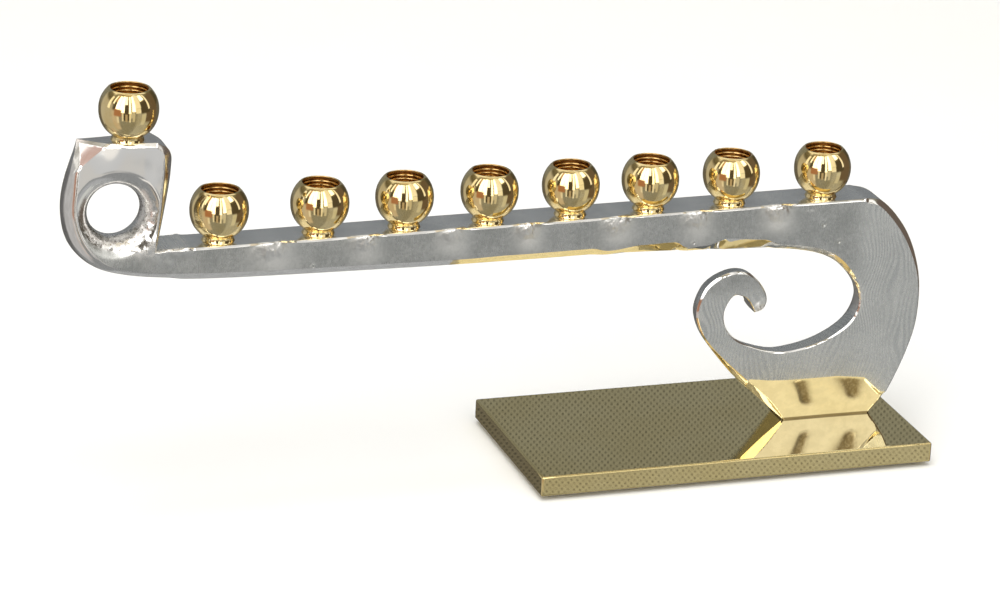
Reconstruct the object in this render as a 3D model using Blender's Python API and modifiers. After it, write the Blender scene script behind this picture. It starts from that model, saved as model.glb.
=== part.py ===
"""Desk menorah: nine turned brass candle cups on one cast aluminium scroll, screwed to a brass base.

The part stands on the felt under its base plate. The origin is the middle of the felt's underside,
+X runs along the beam away from the servant light, +Y goes to the back and +Z is up.
"""

import math

import bmesh
import bpy
from mathutils import Matrix, Vector
from mathutils.geometry import delaunay_2d_cdt

MM = 0.001
GAP = 0.3 * MM                  # clearance between pieces that touch

# Base: a flat brass bar with a felt sheet under it
BASE_LENGTH = 120.0 * MM
BASE_WIDTH = 60.0 * MM
BASE_THICKNESS = 6.0 * MM
BASE_EDGE = 0.5 * MM            # chamfer round the plate
FELT_THICKNESS = 1.0 * MM
FELT_MARGIN = 3.0 * MM          # the felt stops this far inside the plate's edge

BASE_BOTTOM = FELT_THICKNESS + GAP
BASE_TOP = BASE_BOTTOM + BASE_THICKNESS

# Scroll casting: flat front, rounded back, one outline
FRONT = -6.0 * MM
BACK_LEFT = 6.0 * MM            # the back leans out slightly from the curl to the scroll
BACK_RIGHT = 7.5 * MM
BACK_SPIRAL = 1.2 * MM          # the spiral thins towards its tip
THIN_FROM = 30.0                # millimetres: left of this the lower arm starts to thin
UNDER_BEAM = 51.0               # millimetres above the plate: the lower arm is all below this
SIDE_STEPS = 4                  # points between two neighbours of a curved stretch
BACK_STEPS = 3                  # rings round the back edge
MITRE_TURN = 0.45               # sine of the turn above which a corner is mitred
WELD = 0.001 * MM
BEAM_LEFT_TOP = (-166.2, 66.2)  # where the curl comes down onto the beam
BEAM_RIGHT_TOP = (44.0, 67.4)
FOOT_LEFT = 23.5
FOOT_RIGHT = 51.0
FOOT_FACET_HEIGHT = 13.0 * MM   # the polished facet on the foot's front leans in below this height
FOOT_FACET_INSET = 2.0 * MM
FACET_CUTTER = (80.0 * MM, 20.0 * MM, 60.0 * MM)
CORNER_CUTTER = (60.0 * MM, 60.0 * MM, 20.0 * MM)

# Curl, in millimetres: its front turns back and its back comes forward towards the top left
CURL_FROM = -165.0              # left of here
CURL_REACH = 22.0
CURL_TWIST_ABOVE = 62.0
CURL_TWIST = 0.16               # how far the front goes back for each millimetre, at the top
CURL_THIN_ABOVE = 80.0
CURL_THINNING = 3.3             # how far the back comes forward, at the top
CORNER_EDGE = ((-179.6, 96.9), (-190.4, 88.0))  # lower edge of the facet on the top left corner
CORNER_LEAN = 1.18              # how far the facet goes back for each millimetre

# Eye of the curl, under the servant light
RING_CENTRE = (-177.2, 77.1)
RING_THROAT = 7.5 * MM          # radius at the middle of the depth
RING_FLARE = 4.6 * MM           # how far the mouth opens out from the throat
RING_LIP = 6.5 * MM             # half the length of the rounded lip
RING_SEGMENTS = 40
RING_STEPS = 5

# Candle cups
CUP_RADIUS = 8.2 * MM
CUP_HEIGHT = 8.85 * MM          # ball centre above the face it stands on
RIM_RADIUS = 5.65 * MM
BORE_RADIUS = 5.15 * MM
BORE_FLOOR = -4.6 * MM          # below the ball's centre
NECK_RADIUS = 4.4 * MM
CUP_SEGMENTS = 28
BALL_STEPS = 7
CURL_TOP = 96.9                 # flat top of the curl, millimetres above the plate
SERVANT_X = -173.5
CANDLE_XS = (-147.6, -119.0, -94.2, -69.5, -45.0, -21.3, 3.5, 31.9)  # drilled by eye, not evenly

# Screws
CUP_SCREW_RADIUS = 1.45 * MM
CUP_SCREW_HEAD = 2.75 * MM
CUP_SCREW_HEAD_HEIGHT = 1.9 * MM
CUP_SCREW_HEAD_FLAT = 1.9 * MM  # radius of the head's flat top, inside its sloping edge
CUP_SCREW_HEAD_SLOPE = 0.65 * MM
CUP_SCREW_DEPTH = 6.5 * MM      # how far it reaches into the casting
BASE_SCREW_RADIUS = 1.95 * MM
BASE_SCREW_HEAD = 3.9 * MM
BASE_SCREW_REACH = 9.0 * MM     # above the plate
BASE_SCREW_XS = (31.5, 44.0)
SCREW_SEGMENTS = 16
HOLE_END_GAP = 0.6 * MM
CUTTER_OVERRUN = 2.0 * MM       # how far a cutter passes the face that it opens

SILVER = (0.62, 0.62, 0.61)
GOLD = (0.80, 0.60, 0.25)
STEEL = (0.55, 0.55, 0.56)
CLOTH = (0.03, 0.03, 0.035)


# ---------------------------------------------------------------- scene and helpers

def clear_scene():
    for obj in list(bpy.data.objects):
        bpy.data.objects.remove(obj, do_unlink=True)


def new_collection(name):
    collection = bpy.data.collections.new(name)
    bpy.context.scene.collection.children.link(collection)
    return collection


def metal(name, colour, roughness, metallic):
    material = bpy.data.materials.new(name)
    material.use_nodes = True
    shader = material.node_tree.nodes["Principled BSDF"]
    shader.inputs["Base Color"].default_value = (*colour, 1.0)
    shader.inputs["Roughness"].default_value = roughness
    shader.inputs["Metallic"].default_value = metallic
    return material


def add_object(name, mesh, collection, material=None):
    obj = bpy.data.objects.new(name, mesh)
    collection.objects.link(obj)
    if material:
        mesh.materials.clear()
        mesh.materials.append(material)
    return obj


def smooth(mesh, angle=35.0):
    mesh.shade_smooth()
    mesh.set_sharp_from_angle(angle=math.radians(angle))


def box_mesh(name, size):
    work = bmesh.new()
    bmesh.ops.create_cube(work, size=1.0)
    bmesh.ops.scale(work, vec=size, verts=work.verts)
    mesh = bpy.data.meshes.new(name)
    work.to_mesh(mesh)
    work.free()
    return mesh


def turned(name, profile, segments, collection):
    """A Screw modifier's turned piece. The profile runs down its outer side from the axis or the bore."""
    mesh = bpy.data.meshes.new(name)
    points = [(radius, 0.0, height) for radius, height in profile]
    edges = [(index, index + 1) for index in range(len(points) - 1)]
    if profile[0] == profile[-1]:
        points.pop()
        edges[-1] = (len(points) - 1, 0)
    mesh.from_pydata(points, edges, [])
    obj = add_object(name, mesh, collection)
    screw = obj.modifiers.new("Turn", "SCREW")
    screw.steps = segments
    screw.render_steps = segments
    screw.use_merge_vertices = True
    screw.merge_threshold = 0.00001
    screw.use_smooth_shade = True
    return obj


def hide_cutter(obj):
    obj.hide_render = True
    obj.display_type = "WIRE"
    return obj


def cut(target, cutter):
    boolean = target.modifiers.new(cutter.name, "BOOLEAN")
    boolean.operation = "DIFFERENCE"
    boolean.solver = "EXACT"
    boolean.object = cutter


def arc(radius, start, end, steps, centre=(0.0, 0.0)):
    """Points round an arc, angles in degrees from the horizontal."""
    points = []
    for step in range(steps + 1):
        angle = math.radians(start + (end - start) * step / steps)
        points.append((centre[0] + radius * math.cos(angle), centre[1] + radius * math.sin(angle)))
    return points


# ---------------------------------------------------------------- scroll outline

def beam_top(x):
    """Height of the beam's top face above the plate, in millimetres."""
    (left, low), (right, high) = BEAM_LEFT_TOP, BEAM_RIGHT_TOP
    return low + (high - low) * (x - left) / (right - left)


def outline_runs():
    """The casting's outline, anticlockwise from the front, as runs between corners.

    Each point has x, the height above the plate, the width of the front bevel, and the inset and
    the depth of the back's rounding, in millimetres.
    """
    beam_right = (*BEAM_RIGHT_TOP, 1.0, 0.5, 0.5)
    beam_left = (*BEAM_LEFT_TOP, 1.0, 0.5, 0.5)
    curl_right = (-166.4, CURL_TOP, 1.0, 1.0, 1.0)
    curl_left = (-187.0, CURL_TOP, 1.0, 1.0, 1.0)
    curl_side = [beam_left, (-163.4, 77.0, 2.0, 2.0, 3.0), (-161.7, 88.0, 2.5, 2.0, 3.0),
                 (-162.8, 94.2, 2.0, 2.0, 3.0), curl_right]
    underside = [(-187.0, CURL_TOP, 2.0, 2.0, 3.0), (-190.0, 87.0, 3.0, 2.5, 3.0),
                 (-191.3, 77.0, 3.0, 3.0, 3.5), (-189.6, 68.2, 3.0, 3.0, 3.5),
                 (-184.4, 62.0, 2.6, 3.0, 3.5), (-176.1, 59.1, 2.4, 2.5, 3.0),
                 (-161.2, 57.0, 2.3, 2.0, 2.5), (-133.6, 56.0, 2.3, 2.0, 2.5),
                 (-64.0, 55.3, 2.3, 2.0, 2.5), (-25.0, 55.4, 2.3, 2.0, 2.5),
                 (4.0, 54.4, 2.3, 2.0, 2.5), (18.5, 53.6, 2.2, 2.0, 2.5)]
    opening = [(29.6, 51.6, 1.8, 4.0, 6.0), (36.6, 48.2, 1.5, 6.0, 9.0), (42.2, 42.2, 0.8, 8.0, 11.5),
               (44.3, 36.0, 0.4, 8.8, 12.5), (42.3, 30.0, 0.4, 8.8, 12.5), (36.5, 25.6, 0.4, 8.5, 12.5),
               (28.5, 22.7, 0.4, 8.0, 12.2), (20.0, 21.9, 0.4, 6.5, 10.2), (11.9, 24.1, 0.4, 5.0, 8.2),
               (6.2, 26.9, 0.4, 3.8, 7.0), (2.6, 31.2, 0.4, 3.0, 6.4), (2.1, 36.2, 0.3, 2.2, 6.0),
               (4.8, 40.5, 0.3, 1.8, 6.0), (8.4, 39.5, 0.3, 1.2, 6.0), (10.4, 36.9, 0.3, 0.8, 6.0),
               (11.4, 34.9, 0.3, 0.5, 6.0)]
    arm = [(11.4, 34.9, 0.3, 0.5, 6.0), (14.4, 36.2, 0.4, 0.7, 6.0), (14.9, 39.6, 0.5, 1.5, 6.0),
           (12.6, 43.8, 0.5, 2.0, 6.0), (8.8, 47.0, 0.5, 2.3, 6.0), (4.0, 47.7, 0.6, 2.5, 6.0),
           (-1.0, 46.0, 0.6, 2.5, 6.0), (-4.7, 42.4, 0.6, 2.5, 6.0), (-6.6, 36.2, 0.5, 2.5, 6.0),
           (-5.0, 30.2, 0.5, 2.5, 6.0), (-1.0, 24.2, 0.8, 2.5, 6.0), (6.6, 15.3, 1.8, 2.5, 6.0),
           (16.3, 6.4, 2.4, 2.5, 5.0), (FOOT_LEFT, 0.0, 2.4, 2.0, 3.0)]
    foot = [(FOOT_LEFT, 0.0, 0.0, 0.4, 0.4), (FOOT_RIGHT, 0.0, 0.0, 0.4, 0.4)]
    outer = [(FOOT_RIGHT, 0.0, 0.4, 2.5, 4.0), (54.7, 5.3, 0.4, 2.5, 4.0), (58.0, 12.0, 0.4, 3.0, 5.0),
             (60.9, 19.5, 0.4, 3.0, 6.0), (62.9, 27.2, 0.4, 3.0, 6.0), (63.4, 35.6, 0.5, 3.0, 6.0),
             (62.8, 43.0, 0.8, 3.0, 5.0), (60.8, 50.6, 1.5, 3.0, 4.0), (57.7, 57.0, 1.8, 2.5, 4.0),
             (53.2, 62.8, 1.8, 2.5, 3.0), (48.8, 66.4, 1.5, 2.0, 2.0), beam_right]
    return [[beam_right, beam_left], curl_side, [curl_right, curl_left], underside + opening, arm,
            foot, outer]


def spline(knots, steps):
    """A smooth open run through the knots, without its last one."""
    if len(knots) == 2:
        return [tuple(knots[0])]
    before = [2 * a - b for a, b in zip(knots[0], knots[1])]
    after = [2 * a - b for a, b in zip(knots[-1], knots[-2])]
    padded = [before] + knots + [after]
    sampled = []
    for index in range(1, len(padded) - 2):
        around = padded[index - 1:index + 3]
        for step in range(steps):
            sampled.append(tuple(catmull_rom(*values, step / steps) for values in zip(*around)))
    return sampled


def catmull_rom(a, b, c, d, t):
    linear = (c - a) * t
    square = (2 * a - 5 * b + 4 * c - d) * t * t
    cube = (3 * b - a - 3 * c + d) * t ** 3
    return b + 0.5 * (linear + square + cube)


def sampled_outline():
    """Outline points and, for the side that leaves each point, its edge finish, all in metres."""
    points = []
    finishes = []
    for run in outline_runs():
        for x, height, *finish in spline(run, SIDE_STEPS):
            points.append(Vector((x * MM, BASE_TOP + GAP + height * MM)))
            finishes.append([value * MM for value in finish])
    return points, finishes


def back_of(point):
    """How far back the casting reaches at an outline point."""
    x = point.x / MM
    share = (x - BEAM_LEFT_TOP[0]) / (BEAM_RIGHT_TOP[0] - BEAM_LEFT_TOP[0])
    full = BACK_LEFT + (BACK_RIGHT - BACK_LEFT) * min(max(share, 0.0), 1.0)
    if point.y > BASE_TOP + UNDER_BEAM * MM:
        return full
    t = min(max(x / THIN_FROM, 0.0), 1.0)
    return BACK_SPIRAL + (full - BACK_SPIRAL) * t * t * (3 - 2 * t)


def inset_point(points, index, before, after):
    """Moves a corner in by one distance from the side before it and another from the side after."""
    here = points[index]
    arriving = (here - points[index - 1]).normalized()
    leaving = (points[(index + 1) % len(points)] - here).normalized()
    normal_a = Vector((-arriving.y, arriving.x))
    normal_b = Vector((-leaving.y, leaving.x))
    turn = normal_a.x * normal_b.y - normal_a.y * normal_b.x
    if abs(turn) < MITRE_TURN:
        return here + (normal_a + normal_b).normalized() * (before + after) / 2
    x = (before * normal_b.y - after * normal_a.y) / turn
    y = (after * normal_a.x - before * normal_b.x) / turn
    return here + Vector((x, y))


def eased(value, start, length):
    t = min(max((value - start) / length, 0.0), 1.0)
    return t * t * (3 - 2 * t)


def curl_shift(x, height, y):
    """How many millimetres further back a point of the curl lies than a flat one would.

    x and height are in millimetres, y in metres.
    """
    along = max(CURL_FROM - x, 0.0)
    raised = max((height - CURL_TWIST_ABOVE) / (CURL_TOP - CURL_TWIST_ABOVE), 0.0) ** 1.5
    front = CURL_TWIST * along * raised
    thinned = eased(height, CURL_THIN_ABOVE, CURL_TOP - CURL_THIN_ABOVE)
    back = CURL_THINNING * min(along / CURL_REACH, 1.0) * thinned
    share = (BACK_LEFT - y) / (BACK_LEFT - FRONT)
    return front * share - back * (1.0 - share)


def body_rings():
    """Rings from the front face to the back face, each a list of (x, y, z)."""
    points, finishes = sampled_outline()
    levels = [("front", 1.0, 0.0), ("front", 0.0, 1.0)]
    for step in range(BACK_STEPS + 1):
        angle = math.radians(90.0 * step / BACK_STEPS)
        levels.append(("back", 1.0 - math.cos(angle), 1.0 - math.sin(angle)))
    rings = []
    for side, inset_share, depth_share in levels:
        ring = []
        for index, point in enumerate(points):
            bevel_a, inset_a, depth_a = finishes[index - 1]
            bevel_b, inset_b, depth_b = finishes[index]
            if side == "front":
                flat = inset_point(points, index, bevel_a * inset_share, bevel_b * inset_share)
                y = FRONT + (bevel_a + bevel_b) / 2 * depth_share
            else:
                flat = inset_point(points, index, inset_a * inset_share, inset_b * inset_share)
                y = back_of(point) - (depth_a + depth_b) / 2 * depth_share
            height = flat.y - BASE_TOP - GAP
            ring.append((flat.x, y + curl_shift(flat.x / MM, height / MM, y) * MM, flat.y))
        rings.append(ring)
    return rings


def fill(work, ring):
    """Flat triangles inside one ring, worked out as seen from the front."""
    flat = [Vector((vert.co.x, vert.co.z)) for vert in ring]
    border = [(index, (index + 1) % len(ring)) for index in range(len(ring))]
    triangles = delaunay_2d_cdt(flat, border, [], 1, 0.0)[2]
    for triangle in triangles:
        work.faces.new([ring[index] for index in triangle])


def body_mesh():
    """A loft from the bevelled flat front to the inset back: no primitive joins unlike outlines."""
    work = bmesh.new()
    rings = [[work.verts.new(point) for point in ring] for ring in body_rings()]
    count = len(rings[0])
    for front, back in zip(rings, rings[1:]):
        for index in range(count):
            following = (index + 1) % count
            work.faces.new((front[index], back[index], back[following], front[following]))
    fill(work, rings[0])
    fill(work, rings[-1])
    bmesh.ops.remove_doubles(work, verts=work.verts, dist=WELD)
    bmesh.ops.recalc_face_normals(work, faces=work.faces)
    mesh = bpy.data.meshes.new("scroll_casting")
    work.to_mesh(mesh)
    work.free()
    return mesh


# ---------------------------------------------------------------- sub-parts

def cup_places():
    """Name, x and the height of the face it stands on, in metres, for each candle cup."""
    places = [("servant", SERVANT_X * MM, BASE_TOP + GAP + CURL_TOP * MM)]
    for number, x in enumerate(CANDLE_XS, start=1):
        places.append((str(number), x * MM, BASE_TOP + GAP + beam_top(x) * MM))
    return places


def cup_profile():
    """Outer side from the rim down to the neck, then back up through the screw hole and the bore."""
    rim_height = math.sqrt(CUP_RADIUS ** 2 - RIM_RADIUS ** 2)
    neck_height = -math.sqrt(CUP_RADIUS ** 2 - NECK_RADIUS ** 2)
    top = math.degrees(math.atan2(rim_height, RIM_RADIUS))
    bottom = math.degrees(math.atan2(neck_height, NECK_RADIUS))
    foot = GAP - CUP_HEIGHT
    hole = CUP_SCREW_RADIUS + GAP
    profile = arc(CUP_RADIUS, top, bottom, BALL_STEPS)
    profile += [(NECK_RADIUS, foot), (hole, foot), (hole, BORE_FLOOR), (BORE_RADIUS, BORE_FLOOR)]
    profile += [(BORE_RADIUS, rim_height), profile[0]]
    return profile


def make_cup(name, x, stand, parts, material):
    cup = turned(name, cup_profile(), CUP_SEGMENTS, parts)
    cup.data.materials.append(material)
    cup.location = (x, 0.0, stand + CUP_HEIGHT)
    return cup


def make_cup_screw(name, x, stand, parts, material):
    seat = CUP_HEIGHT + BORE_FLOOR + GAP
    head_top = seat + CUP_SCREW_HEAD_HEIGHT
    profile = [(0.0, head_top), (CUP_SCREW_HEAD_FLAT, head_top),
               (CUP_SCREW_HEAD, head_top - CUP_SCREW_HEAD_SLOPE), (CUP_SCREW_HEAD, seat),
               (CUP_SCREW_RADIUS, seat), (CUP_SCREW_RADIUS, -CUP_SCREW_DEPTH),
               (0.0, -CUP_SCREW_DEPTH)]
    screw = turned(name, profile, SCREW_SEGMENTS, parts)
    screw.data.materials.append(material)
    screw.location = (x, 0.0, stand)
    return screw


def make_base_screw(name, x, parts, material):
    """Countersunk from below: its flat head is level with the plate's underside."""
    bottom = BASE_BOTTOM + GAP
    cone = BASE_SCREW_HEAD - BASE_SCREW_RADIUS
    top = BASE_TOP + BASE_SCREW_REACH
    profile = [(0.0, top), (BASE_SCREW_RADIUS, top), (BASE_SCREW_RADIUS, bottom + cone),
               (BASE_SCREW_HEAD, bottom), (0.0, bottom)]
    screw = turned(name, profile, SCREW_SEGMENTS, parts)
    screw.data.materials.append(material)
    screw.location.x = x
    return screw


def make_base(parts, cutters, material):
    plate = add_object("base_plate", box_mesh("base_plate", (BASE_LENGTH, BASE_WIDTH, BASE_THICKNESS)),
                       parts, material)
    plate.location.z = BASE_BOTTOM + BASE_THICKNESS / 2
    bevel = plate.modifiers.new("Edges", "BEVEL")
    bevel.width = BASE_EDGE
    bevel.segments = 1
    for number, x in enumerate(BASE_SCREW_XS, start=1):
        radius = BASE_SCREW_RADIUS + GAP
        head = BASE_SCREW_HEAD + GAP
        below = BASE_BOTTOM - CUTTER_OVERRUN
        above = BASE_TOP + CUTTER_OVERRUN
        seat = BASE_BOTTOM + GAP + head - radius
        profile = [(0.0, above), (radius, above), (radius, seat), (head, BASE_BOTTOM + GAP),
                   (head, below), (0.0, below)]
        hole = hide_cutter(turned(f"base_hole_{number}", profile, SCREW_SEGMENTS, cutters))
        hole.location.x = x * MM
        cut(plate, hole)
    return plate


def make_felt(parts, material):
    size = (BASE_LENGTH - 2 * FELT_MARGIN, BASE_WIDTH - 2 * FELT_MARGIN, FELT_THICKNESS)
    felt = add_object("base_felt", box_mesh("base_felt", size), parts, material)
    felt.location.z = FELT_THICKNESS / 2
    return felt


def ring_cutter(cutters):
    """The hole through the curl: a flared mouth on each face and a round lip in the middle."""
    wide = RING_THROAT + RING_FLARE
    profile = [(0.0, RING_LIP * 2), (wide, RING_LIP * 2)]
    for step in range(-RING_STEPS, RING_STEPS + 1):
        angle = math.radians(90.0 * step / RING_STEPS)
        profile.append((wide - RING_FLARE * math.cos(angle), -RING_LIP * math.sin(angle)))
    profile += [(wide, -RING_LIP * 2), (0.0, -RING_LIP * 2)]
    hole = hide_cutter(turned("ring_hole", profile, RING_SEGMENTS, cutters))
    hole.rotation_euler.x = math.radians(90.0)
    hole.location = (RING_CENTRE[0] * MM, 0.0, BASE_TOP + GAP + RING_CENTRE[1] * MM)
    return hole


def facet_cutter(cutters):
    """Takes the leaning facet off the foot's front."""
    lean = math.atan2(FOOT_FACET_INSET, FOOT_FACET_HEIGHT)
    cutter = hide_cutter(add_object("foot_facet", box_mesh("foot_facet", FACET_CUTTER), cutters))
    cutter.rotation_euler.x = lean
    middle = (FOOT_LEFT + FOOT_RIGHT) / 2 * MM
    hinge = Vector((middle, FRONT, BASE_TOP + GAP + FOOT_FACET_HEIGHT))
    outward = Vector((0.0, -math.cos(lean), -math.sin(lean)))
    cutter.location = hinge + outward * FACET_CUTTER[1] / 2
    return cutter


def corner_cutter(cutters):
    """Takes the facet off the curl's top left corner."""
    (x0, z0), (x1, z1) = CORNER_EDGE
    ends = [Vector((x, FRONT / MM + curl_shift(x, z, FRONT), z)) for x, z in CORNER_EDGE]
    along = (ends[1] - ends[0]).normalized()
    down = Vector((z1 - z0, 0.0, x0 - x1)).normalized()
    down.y = CORNER_LEAN
    outward = along.cross(down).normalized()
    if outward.y > 0.0:
        outward = -outward
    cutter = hide_cutter(add_object("corner_facet", box_mesh("corner_facet", CORNER_CUTTER), cutters))
    turn = Matrix((along, outward.cross(along), outward)).transposed().to_4x4()
    middle = (ends[0] + ends[1]) / 2 * MM + Vector((0.0, 0.0, BASE_TOP + GAP))
    cutter.matrix_world = Matrix.Translation(middle + outward * CORNER_CUTTER[2] / 2) @ turn
    return cutter


def tapped_hole(name, x, low, high, radius, cutters):
    profile = [(0.0, high), (radius, high), (radius, low), (0.0, low)]
    hole = hide_cutter(turned(name, profile, SCREW_SEGMENTS, cutters))
    hole.location.x = x
    return hole


def make_body(parts, cutters, material):
    body = add_object("scroll_casting", body_mesh(), parts, material)
    cut(body, ring_cutter(cutters))
    cut(body, facet_cutter(cutters))
    cut(body, corner_cutter(cutters))
    for name, x, stand in cup_places():
        low = stand - CUP_SCREW_DEPTH - HOLE_END_GAP
        radius = CUP_SCREW_RADIUS + GAP
        cut(body, tapped_hole(f"cup_hole_{name}", x, low, stand + CUTTER_OVERRUN, radius, cutters))
    for number, x in enumerate(BASE_SCREW_XS, start=1):
        high = BASE_TOP + BASE_SCREW_REACH + HOLE_END_GAP
        radius = BASE_SCREW_RADIUS + GAP
        low = BASE_TOP - CUTTER_OVERRUN
        cut(body, tapped_hole(f"foot_hole_{number}", x * MM, low, high, radius, cutters))
    smooth(body.data)
    return body


def main():
    clear_scene()
    parts = new_collection("menorah")
    cutters = new_collection("cutters")
    aluminium = metal("polished_aluminium", SILVER, 0.25, 1.0)
    brass = metal("polished_brass", GOLD, 0.12, 1.0)
    steel = metal("screw_steel", STEEL, 0.3, 1.0)
    felt = metal("felt", CLOTH, 0.95, 0.0)

    make_felt(parts, felt)
    make_base(parts, cutters, brass)
    make_body(parts, cutters, aluminium)
    for name, x, stand in cup_places():
        cup_name = "servant_cup" if name == "servant" else f"candle_cup_{name}"
        make_cup(cup_name, x, stand, parts, brass)
        make_cup_screw(f"{cup_name}_screw", x, stand, parts, brass)
    for number, x in enumerate(BASE_SCREW_XS, start=1):
        make_base_screw(f"base_screw_{number}", x * MM, parts, steel)


main()
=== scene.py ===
"""The menorah's looks: a hand-brushed aluminium scroll with polished bevels and as-cast lumps, turned
and polished brass cups, a mirror-polished brass base and a felt underside, in a soft pale studio."""

import math

import bmesh
import bpy
import numpy as np
from mathutils import Matrix, Vector, noise
from mathutils.geometry import delaunay_2d_cdt


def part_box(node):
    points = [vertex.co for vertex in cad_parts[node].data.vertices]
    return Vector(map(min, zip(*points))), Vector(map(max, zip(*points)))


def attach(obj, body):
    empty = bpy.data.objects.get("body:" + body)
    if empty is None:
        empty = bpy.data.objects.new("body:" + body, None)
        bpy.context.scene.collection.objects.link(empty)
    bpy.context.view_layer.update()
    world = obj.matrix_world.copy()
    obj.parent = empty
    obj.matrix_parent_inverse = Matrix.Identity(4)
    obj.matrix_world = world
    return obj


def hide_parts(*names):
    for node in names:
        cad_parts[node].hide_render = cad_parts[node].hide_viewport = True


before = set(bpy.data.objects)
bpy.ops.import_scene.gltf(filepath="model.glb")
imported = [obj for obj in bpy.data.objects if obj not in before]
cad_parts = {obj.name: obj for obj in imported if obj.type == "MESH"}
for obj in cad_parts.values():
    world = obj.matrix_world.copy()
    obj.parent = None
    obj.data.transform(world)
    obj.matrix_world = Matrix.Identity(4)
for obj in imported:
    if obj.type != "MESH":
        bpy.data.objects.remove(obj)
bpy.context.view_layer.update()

MM = 0.001

# ---- places taken from the frame

BODY_LOW, BODY_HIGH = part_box("scroll_casting")
STAND = BODY_LOW.z  # the casting's foot
PLATE_LOW, PLATE_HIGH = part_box("base_plate")
FELT_LOW, FELT_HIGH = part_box("base_felt")
CUP_NODES = ["servant_cup"] + [f"candle_cup_{number}" for number in range(1, 9)]

# ---- the casting's own sizes, in millimetres

FRONT = -6.0  # y of the front face, and of the back one at the beam's ends
BACK_LEFT = 6.0
BACK_RIGHT = 7.5
BACK_SPIRAL = 1.2  # y of the back at the spiral, which thins to the left of THIN_FROM
THIN_FROM = 30.0
UNDER_BEAM = 51.0  # height that divides the beam from the spiral
BEAM_LEFT_TOP = (-166.2, 66.2)
BEAM_RIGHT_TOP = (44.0, 67.4)
CURL_TOP = 96.9
FOOT_LEFT = 23.5
FOOT_RIGHT = 51.0
MITRE_TURN = 0.45  # sine of the turn above which a corner is mitred

EYE = (-177.2, 77.1)  # centre of the hole through the curl
EYE_THROAT = 7.5  # its radius halfway through
EYE_FLARE = 4.6  # how much its radius grows towards its mouths
EYE_LIP = 6.5  # half of the thickness that the flare is drawn for
EYE_SEGMENTS = 144
EYE_STEPS = 22

OUTLINE_STEP = 0.5  # spacing of points along the outline
BEVEL_STEPS = 10
TOP_BEVEL = 0.58
TOP_BEVEL_AT_LUMPS = 0.28
BEVEL_ROUNDNESS = 1.04  # exponent: 1 is a flat bevel, 2 is a quarter round
CURL_ROUNDNESS = 1.9
CURL_REACH = 2.2  # how much further the curl's rounding goes back than in
DEEPEST_REACH = 8.4  # millimetres back from the front, at most
SPIRAL_FROM = -38.0  # right of this the low bevel turns flatter where it is wide
PLAIN_BEVEL = 2.3
SPIRAL_SHARE = 0.4
ROUND_TO = -158.0  # x: left of this the edges are round
SIDE_STEPS = 7
BACK_STEPS = 7
COARSE_GRID = 0.9
FINE_GRID = 0.42
LUMP_GRID = 0.3
BACK_GRID = 1.6
# low and high corners of the front's areas with fine detail: the curl, the foot and the spiral's tip
FINE_AREAS = [((-192.0, 58.0), (-152.0, 98.0)), ((10.0, 0.0), (56.0, 15.0)), ((7.0, 34.0), (16.0, 42.0))]

# x, height, half width, strength of the rough lumps that the brushing left on the front's top edge
LUMPS = [(-133.6, 64.2, 4.2, 1.0), (-107.2, 64.6, 3.4, 0.9), (-81.7, 65.0, 3.4, 0.9),
         (-59.5, 64.8, 2.9, 1.2), (-32.6, 64.8, 3.6, 1.0), (-8.6, 64.6, 3.6, 0.9),
         (16.0, 65.2, 3.4, 1.35)]
# x, height, radius, depth of the casting's open pits
PITS = [(36.2, 54.9, 0.4, 0.13), (31.0, 60.5, 0.6, 0.16), (-34.0, 63.6, 0.5, 0.14),
        (-105.5, 65.0, 0.45, 0.12), (-122.0, 58.6, 0.3, 0.07), (-9.0, 57.6, 0.35, 0.09)]
PIT_LIP = 0.06
SLIT = ((23.6, 28.2), 65.95, 0.22, 0.3)  # its two ends, height, half width and depth
# x, height, radius, strength of the weld-like lumps where the curl closes on the beam
WELDS = [(-167.0, 68.4, 1.7, 0.7), (-164.2, 67.0, 1.6, 1.2), (-169.0, 66.0, 1.8, 0.5),
         (-161.2, 66.7, 1.7, 1.3), (-158.0, 66.6, 1.6, 1.2), (-165.0, 70.6, 1.1, 0.45),
         (-166.6, 64.0, 1.6, 0.4), (-163.4, 63.0, 1.2, 0.3)]
SPIRAL_TIP = (13.2, 35.6, 2.3, 1.15)  # x, height, radius, strength of its rough end
FACET_EDGE = [(11.0, 14.2), (17.9, 13.2), (25.2, 12.8), (39.0, 12.9), (47.8, 11.8), (53.4, 6.6)]
FACET_LEAN = 2.0 / 13.0
FACET_TURN = 0.62
ROUGH_EDGE = [(18.5, 53.6), (29.6, 51.6), (36.6, 48.2), (42.2, 42.2), (44.3, 36.0), (43.2, 31.8)]
# x and width of the polished bevel under the beam: its upper edge wanders
LOW_BEVEL = [(-170.0, 2.4), (-77.7, 2.3), (-64.5, 2.6), (-40.3, 2.7), (-35.0, 1.7), (-24.6, 2.8),
             (-15.2, 3.2), (-11.0, 1.3), (-5.6, 1.8), (1.4, 3.8), (12.3, 3.2), (17.7, 1.6),
             (24.0, 1.7), (29.6, 1.8)]


# ---- small helpers

def smoothstep(value):
    value = np.clip(value, 0.0, 1.0)
    return value * value * (3.0 - 2.0 * value)


def gauss(distance, width):
    return np.exp(-(distance / width) ** 2)


def unit(vectors):
    return vectors / np.maximum(np.linalg.norm(vectors, axis=1, keepdims=True), 1e-12)


def noise_at(points, scale, offset=0.0):
    """Smooth noise from -1 to 1 at each point, with features about `scale` millimetres across."""
    shift = Vector((offset, offset, offset))
    return np.array([noise.noise(Vector(point) / scale + shift) for point in points])


def eased(pairs, x):
    """Value at x of a list of (place, value), easing in and out between neighbours."""
    places = np.array([place for place, _ in pairs])
    values = np.array([value for _, value in pairs])
    index = np.clip(np.searchsorted(places, x) - 1, 0, len(places) - 2)
    share = smoothstep((x - places[index]) / (places[index + 1] - places[index]))
    return values[index] + (values[index + 1] - values[index]) * share


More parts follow.
